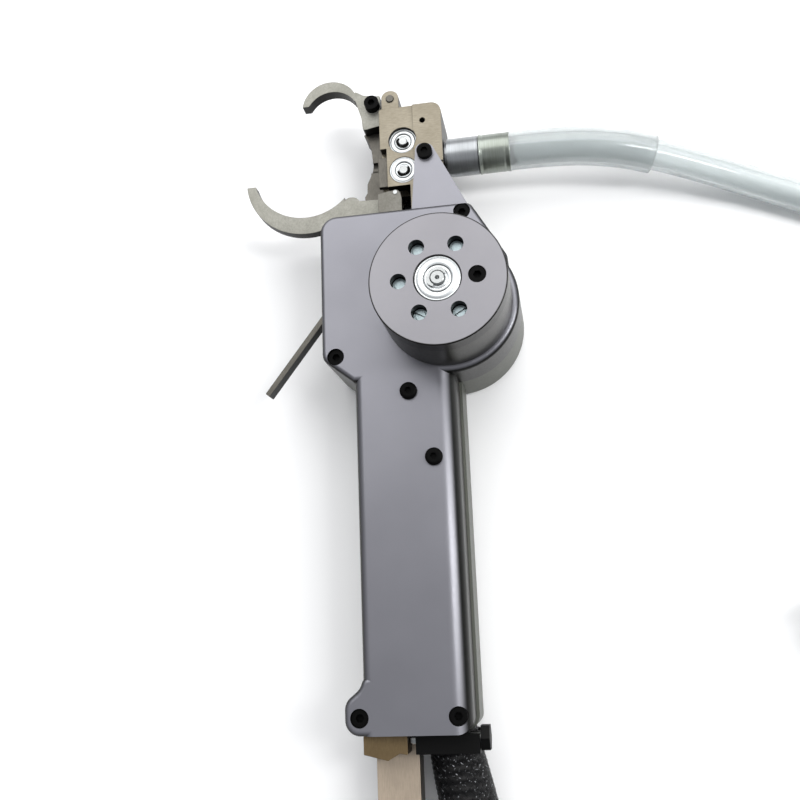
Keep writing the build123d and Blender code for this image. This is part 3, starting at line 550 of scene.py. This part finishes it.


# Metallic powder coat on cast aluminium: fine orange peel, faint cloudiness, and painted shade on
# walls that don't face up. Shaded rim is the distance from the main shaft's axis in mm where a
# dark line round the edge starts, a painted shadow.
def satinCoat(name, light, dark, paintedWallShade, roughness, metallic, shadedRim=None):
    material, tree, shader = newMaterial(name)
    where = addNode(tree, "TexCoord", {}).outputs["Object"]
    cloud = addNode(tree, "TexNoise", {"Vector": where, "Scale": 1 / (coat["cloud"] * mm),
                                       "Detail": 3.0})
    shade = addNode(tree, "MapRange", {"Value": cloud.outputs[0], "From Min": 0.3, "From Max": 0.7})
    face = addNode(tree, "Mix", {"Factor": shade.outputs[0], "A": linear(dark), "B": linear(light)},
                   data_type="RGBA")
    lit = paintedShadeByFacing(tree, *coat["walls"])
    if shadedRim:
        flat = addNode(tree, "VectorMath", {0: where, 1: (1, 1, 0)}, operation="MULTIPLY")
        reach = addNode(tree, "VectorMath", {0: flat.outputs[0]}, operation="LENGTH")
        inside = addNode(tree, "MapRange", {"Value": reach.outputs["Value"], "From Max": shadedRim * mm,
                                            "From Min": (shadedRim + coat["rimShadowFade"]) * mm})
        lit = addNode(tree, "Math", {0: lit, 1: inside.outputs[0]}, operation="MULTIPLY").outputs[0]
    colour = addNode(tree, "Mix", {"Factor": lit, "A": linear(paintedWallShade), "B": face.outputs["Result"]},
                     data_type="RGBA")
    flake = addNode(tree, "TexNoise", {"Vector": where, "Scale": 1 / (coat["flake"] * mm),
                                       "Detail": 2.0})
    glossier, duller = coat["glossRange"]
    gloss = addNode(tree, "MapRange", {"Value": flake.outputs[0], "To Min": roughness + glossier,
                                       "To Max": roughness + duller})
    peel = addNode(tree, "Bump", {"Height": flake.outputs[0], "Strength": coat["peelShare"],
                                  "Distance": coat["peel"] * mm})
    fillInputs(tree, shader, {"Base Color": colour.outputs["Result"], "Roughness": gloss.outputs[0],
                              "Metallic": metallic, "Normal": peel.outputs[0]})
    return material


ground = {
    "stain": 12.0,  # mm, width of the soft stains
    "scratch": 0.05,  # mm, depth of the lines
    "scratchShare": 0.15,
    "shades": (0.14, 0.38),  # lines times stains: the dark colour below the first, the light above
    "glossRange": (0.08, -0.06),  # added to the roughness
    "walls": (0.45, 0.96),  # painted wall shade, as in the coat
}


# Ground, turned or plated metal: fine lines along one way, and softer stains. Grain is the lines'
# spacing in mm, and stretch under 1 draws them out along that axis. Edge is how far the light rolls
# round a corner in mm. Painted wall shade is a darker colour painted on walls that don't face up:
# painted shade.
def brushedMetal(name, light, dark, roughness, metallic, grain=0.35, stretch=(1, 1, 1), edge=0.0,
                 paintedWallShade=None):
    material, tree, shader = newMaterial(name)
    where = addNode(tree, "TexCoord", {}).outputs["Object"]
    drawn = addNode(tree, "Mapping", {"Vector": where, "Scale": stretch}).outputs[0]
    lines = addNode(tree, "TexNoise", {"Vector": drawn, "Scale": 1 / (grain * mm), "Detail": 4.0,
                                       "Roughness": 0.65})
    stain = addNode(tree, "TexNoise", {"Vector": where, "Scale": 1 / (ground["stain"] * mm),
                                       "Detail": 4.0})
    both = addNode(tree, "Math", {0: lines.outputs[0], 1: stain.outputs[0]}, operation="MULTIPLY")
    darkest, lightest = ground["shades"]
    shade = addNode(tree, "MapRange", {"Value": both.outputs[0], "From Min": darkest,
                                       "From Max": lightest})
    colour = addNode(tree, "Mix", {"Factor": shade.outputs[0], "A": linear(dark),
                                   "B": linear(light)}, data_type="RGBA")
    if paintedWallShade:
        lit = paintedShadeByFacing(tree, *ground["walls"])
        colour = addNode(tree, "Mix", {"Factor": lit, "A": linear(paintedWallShade),
                                       "B": colour.outputs["Result"]}, data_type="RGBA")
    duller, glossier = ground["glossRange"]
    gloss = addNode(tree, "MapRange", {"Value": lines.outputs[0], "To Min": roughness + duller,
                                       "To Max": roughness + glossier})
    bump = addNode(tree, "Bump", {"Height": lines.outputs[0], "Strength": ground["scratchShare"],
                                  "Distance": ground["scratch"] * mm})
    if edge:
        rounded = addNode(tree, "Bevel", {"Radius": edge * mm}, samples=4)
        fillInputs(tree, bump, {"Normal": rounded.outputs[0]})
    fillInputs(tree, shader, {"Base Color": colour.outputs["Result"], "Roughness": gloss.outputs[0],
                              "Metallic": metallic, "Normal": bump.outputs[0]})
    return material


pitted = {
    "depth": 0.06,  # mm
    "depthShare": 0.2,
    "glossRange": (-0.08, 0.1),  # added to the roughness
}


# Moulded nylon, laminate, or steel blackened in oil: fine pits and a dull sheen. Grain is the pits'
# spacing in mm.
def pittedFinish(name, colour, roughness, grain=0.5, specular=0.5):
    material, tree, shader = newMaterial(name)
    where = addNode(tree, "TexCoord", {}).outputs["Object"]
    pits = addNode(tree, "TexNoise", {"Vector": where, "Scale": 1 / (grain * mm), "Detail": 3.0})
    glossier, duller = pitted["glossRange"]
    gloss = addNode(tree, "MapRange", {"Value": pits.outputs[0], "To Min": roughness + glossier,
                                       "To Max": roughness + duller})
    bump = addNode(tree, "Bump", {"Height": pits.outputs[0], "Strength": pitted["depthShare"],
                                  "Distance": pitted["depth"] * mm})
    fillInputs(tree, shader, {"Base Color": linear(colour), "Roughness": gloss.outputs[0],
                              "Specular IOR Level": specular, "Normal": bump.outputs[0]})
    return material


clear = {
    "haze": 9.0,  # mm, width of a hazy patch
    "waviness": 0.3,  # mm
    "wavinessShare": 0.05,
    "glossRange": (0.08, 0.26),  # roughness
}


# Plasticised PVC hose: clear with a slight milkiness, glossy, and a faint haze from the die. Milk
# is the share of light that it doesn't let through.
def clearHose(name, colour, milk):
    material, tree, shader = newMaterial(name)
    where = addNode(tree, "TexCoord", {}).outputs["Object"]
    haze = addNode(tree, "TexNoise", {"Vector": where, "Scale": 1 / (clear["haze"] * mm),
                                      "Detail": 3.0})
    glossier, duller = clear["glossRange"]
    gloss = addNode(tree, "MapRange", {"Value": haze.outputs[0], "To Min": glossier,
                                       "To Max": duller})
    bump = addNode(tree, "Bump", {"Height": haze.outputs[0], "Strength": clear["wavinessShare"],
                                  "Distance": clear["waviness"] * mm})
    fillInputs(tree, shader, {"Base Color": linear(colour), "Roughness": gloss.outputs[0],
                              "IOR": 1.53, "Transmission Weight": 1 - milk,
                              "Normal": bump.outputs[0]})
    return material


filament = {
    "count": 4,  # filaments in a strand
    "relief": 0.12,  # mm
    "reliefShare": 0.6,
    "glint": 1.3,  # mm, length of a painted pale glint
    "glints": (0.66, 0.76),  # noise below the first is black, above the second pale: painted highlight
}


# Black polyester monofilament braid: each strand is several glossy filaments, some with a pale
# glint painted into their colour, a painted highlight. The filaments are a cosine across the
# strand, and the glints are noise over its length.
def braidedPolyester(name, colour, paintedGlint):
    material, tree, shader = newMaterial(name)
    uv = addNode(tree, "UVMap", {}, uv_map="UVMap").outputs[0]
    across = addNode(tree, "SeparateXYZ", {0: uv}).outputs["Y"]
    ripple = addNode(tree, "Math", {0: across, 1: 2 * math.pi * filament["count"]},
                     operation="MULTIPLY")
    wave = addNode(tree, "Math", {0: ripple.outputs[0]}, operation="COSINE")
    bump = addNode(tree, "Bump", {"Height": wave.outputs[0], "Strength": filament["reliefShare"],
                                  "Distance": filament["relief"] * mm})
    drawn = addNode(tree, "Mapping", {"Vector": uv,
                                      "Scale": (1 / (filament["glint"] * mm), 3.0, 1.0)})
    glint = addNode(tree, "TexNoise", {"Vector": drawn.outputs[0], "Scale": 1.0, "Detail": 1.0})
    dimmest, brightest = filament["glints"]
    paintedGlintMask = addNode(tree, "MapRange", {"Value": glint.outputs[0], "From Min": dimmest,
                                        "From Max": brightest})
    mixed = addNode(tree, "Mix", {"Factor": paintedGlintMask.outputs[0], "A": linear(colour),
                                  "B": linear(paintedGlint)}, data_type="RGBA")
    fillInputs(tree, shader, {"Base Color": mixed.outputs["Result"], "Roughness": 0.38,
                              "Specular IOR Level": 0.22, "Normal": bump.outputs[0]})
    return material


# Each is named for the real finish. Its colours are the light, the dark and the wall's, which is
# painted shade on walls that don't face up.
finishes = {
    "casing": satinCoat("metallicPowderCoat", "#7E7E84", "#76767C", "#141412", 0.33, 0.65),
    # Cover: the wall colour also paints a dark line round its edge past 27.5 mm, painted shadow.
    "cover": satinCoat("metallicPowderCoatCover", "#807F83", "#78777B", "#141310", 0.33, 0.65,
                       shadedRim=27.5),
    # Back shell: a darker, greener copy of the casing coat, set to its tone in shade: painted
    # shade.
    "casingBack": satinCoat("metallicPowderCoatBackPaintedShade", "#64665F", "#5C5E57", "#4F5149", 0.4, 0.5),
    # Drum wall: darkened olive coat, and the round wall shows the wall colour: painted shade.
    "drum_wall": satinCoat("olivePowderCoatPaintedShade", "#4A4A42", "#414138", "#1B1A13", 0.3, 0.5),
    "nickel": brushedMetal("dullNickelPlate", "#908F87", "#7A7971", 0.45, metallic=0.55, grain=0.8,
                           edge=0.5, paintedWallShade="#12110E"),
    "bracket": brushedMetal("greyNickelPlate", "#75736D", "#605E57", 0.42, metallic=0.6, grain=0.8,
                            edge=0.4, paintedWallShade="#1A1915"),
    "block": brushedMetal("machinedBrownedSteel", "#898273", "#766F60", 0.42, metallic=0.6,
                          grain=0.5, stretch=(0.2, 1, 1), edge=0.4, paintedWallShade="#1F1C16"),
    "foot": brushedMetal("brassedSteelFoot", "#7D6A4B", "#69583D", 0.42, metallic=0.6, grain=0.5,
                         stretch=(1, 0.2, 1), edge=0.4, paintedWallShade="#2A2213"),
    "steel": brushedMetal("groundSteel", "#A9ABAB", "#8B8D8D", 0.26, metallic=0.95, grain=0.3,
                          stretch=(1, 1, 0.15)),
    "bearing": brushedMetal("polishedBearingSteel", "#DADDDE", "#C4C8C9", 0.34, metallic=0.75,
                            grain=0.6, paintedWallShade="#3A3B3B"),
    "zinc": brushedMetal("blueZincPlate", "#AFBDC0", "#95A4A8", 0.36, metallic=0.6, grain=0.5,
                         paintedWallShade="#4A5153"),
    "black_steel": pittedFinish("blackOxideSteel", "#020202", 0.6, 0.3, 0.08),
    "dark_steel": brushedMetal("hardenedGreySteel", "#605D56", "#4E4B45", 0.4, metallic=0.6,
                               grain=0.5, stretch=(1, 0.2, 1), edge=0.4, paintedWallShade="#100F0C"),
    "aluminium": brushedMetal("turnedAluminium", "#A3A6A9", "#8B8E90", 0.3, metallic=0.8,
                              stretch=(1, 0.02, 0.02)),
    "crimp": brushedMetal("turnedNickelCrimp", "#989E98", "#82877F", 0.3, metallic=0.8,
                          stretch=(1, 0.02, 0.02)),
    "clear_hose": clearHose("clearHose", "#E9EEEE", 0.2),
    # Braid: its pale second colour is painted highlight, glints on the black.
    "braid": braidedPolyester("braidedPolyester", "#030304", "#B4B7BB"),
    "black_plastic": pittedFinish("mouldedNylon", "#020202", 0.5, 0.5, 0.14),
    "board": pittedFinish("greenLaminate", "#1D5B34", 0.35),
    "brass": brushedMetal("turnedBrass", "#C9A75A", "#A98A45", 0.3, metallic=0.95, grain=0.3,
                          stretch=(1, 1, 0.2)),
    "chute": brushedMetal("foldedStainless", "#BBAB98", "#A59786", 0.34, metallic=0.5, grain=0.4,
                          stretch=(1, 0.08, 1), edge=0.3, paintedWallShade="#3A352C"),
}
print("materials made,", len(finishes))


# Gives a new piece its only material, the finish under the given key.
def dress(piece, finish):
    piece.data.materials.clear()
    piece.data.materials.append(finishes[finish])


slotOf = {part["node"]: part["material_slot"] for part in frame["record"]["subparts"]}
ownFinish = {"back_shell": "casingBack", "drum_cover": "cover", "jaw_bracket": "bracket",
             "guide_foot": "bracket", "exit_block": "foot"}
for name, node in nodes.items():
    for materialSlot in node.material_slots:
        materialSlot.material = finishes[ownFinish.get(name, slotOf[name])]
for piece in (hoseTube, hoseSleeve):
    dress(piece, "clear_hose")
for piece in umbilicalBraids:
    dress(piece, "braid")
dress(umbilicalCore, "black_plastic")
for piece in bearingPieces:
    dress(piece, "bearing")
dress(drumStuds, "zinc")
# Tension shafts' rings are black: real retaining rings, and in part painted shade at the bearings.
for piece in clips[:2]:
    dress(piece, "black_steel")
dress(clips[2], "steel")
dress(crimpBand, "crimp")
print("finishes given")


studio = {
    "floor": "#F6F6F6",
    "floorSize": 40.0,  # m, as are all places and sizes here
    "floorDrop": 0.0002,  # just under what lies on it
    "world": "#F5F5F5",
    "horizon": "#B0B2B6",
    "worldStrength": 0.95,
    "brightestWay": (0.0, 0.7, 0.714),  # the sky is brightest here and falls away from it
    "skyFade": (0.58, 0.97),  # cosine of the angle from that way: horizon's colour, world's colour
    "topLight": {"place": (-0.1, 0.95, 1.25), "aim": (0.0, 0.0, 0.0), "size": (2.2, 1.5),
                 "watts": 23.0},
    "rightLight": {"place": (0.8, -0.02, 0.75), "aim": (0.0, -0.05, 0.0), "size": (0.16, 0.9),
                   "watts": 9.0},
}


def areaLight(name, place, aim, size, watts):
    lamp = bpy.data.lights.new(name, "AREA")
    lamp.shape = "RECTANGLE"
    lamp.size, lamp.size_y = size
    lamp.energy = watts
    holder = bpy.data.objects.new(name, lamp)
    bpy.context.scene.collection.objects.link(holder)
    holder.location = place
    holder.rotation_euler = (Vector(aim) - Vector(place)).to_track_quat("-Z", "Y").to_euler()


# A pale floor, two soft lights, and a sky whose colour follows the cosine of the angle from its
# brightest way.
def buildStudio(setup):
    half, low = setup["floorSize"] / 2, -setup["floorDrop"]
    corners = np.array([(-half, -half, low), (half, -half, low), (half, half, low),
                        (-half, half, low)])
    floor = meshFromFaces("floor", corners, np.array([[0, 1, 2, 3]]), smooth=False)
    paint, tree, shader = newMaterial("paintedFloor")
    fillInputs(tree, shader, {"Base Color": linear(setup["floor"]), "Roughness": 0.8})
    floor.data.materials.append(paint)
    for name in ("topLight", "rightLight"):
        areaLight(name, **setup[name])
    world = bpy.data.worlds.new("studio")
    bpy.context.scene.world = world
    world.use_nodes = True
    tree = world.node_tree
    way = addNode(tree, "TexCoord", {}).outputs["Generated"]
    nearness = addNode(tree, "VectorMath", {0: way, 1: setup["brightestWay"]},
                       operation="DOT_PRODUCT")
    farthest, nearest = setup["skyFade"]
    fade = addNode(tree, "MapRange", {"Value": nearness.outputs["Value"], "From Min": farthest,
                                      "From Max": nearest})
    sky = addNode(tree, "Mix", {"Factor": fade.outputs[0], "A": linear(setup["horizon"]),
                                "B": linear(setup["world"])}, data_type="RGBA")
    fillInputs(tree, tree.nodes["Background"], {"Color": sky.outputs["Result"],
                                                "Strength": setup["worldStrength"]})
    bpy.context.scene.view_settings.view_transform = "Standard"


buildStudio(studio)
print("studio lit")
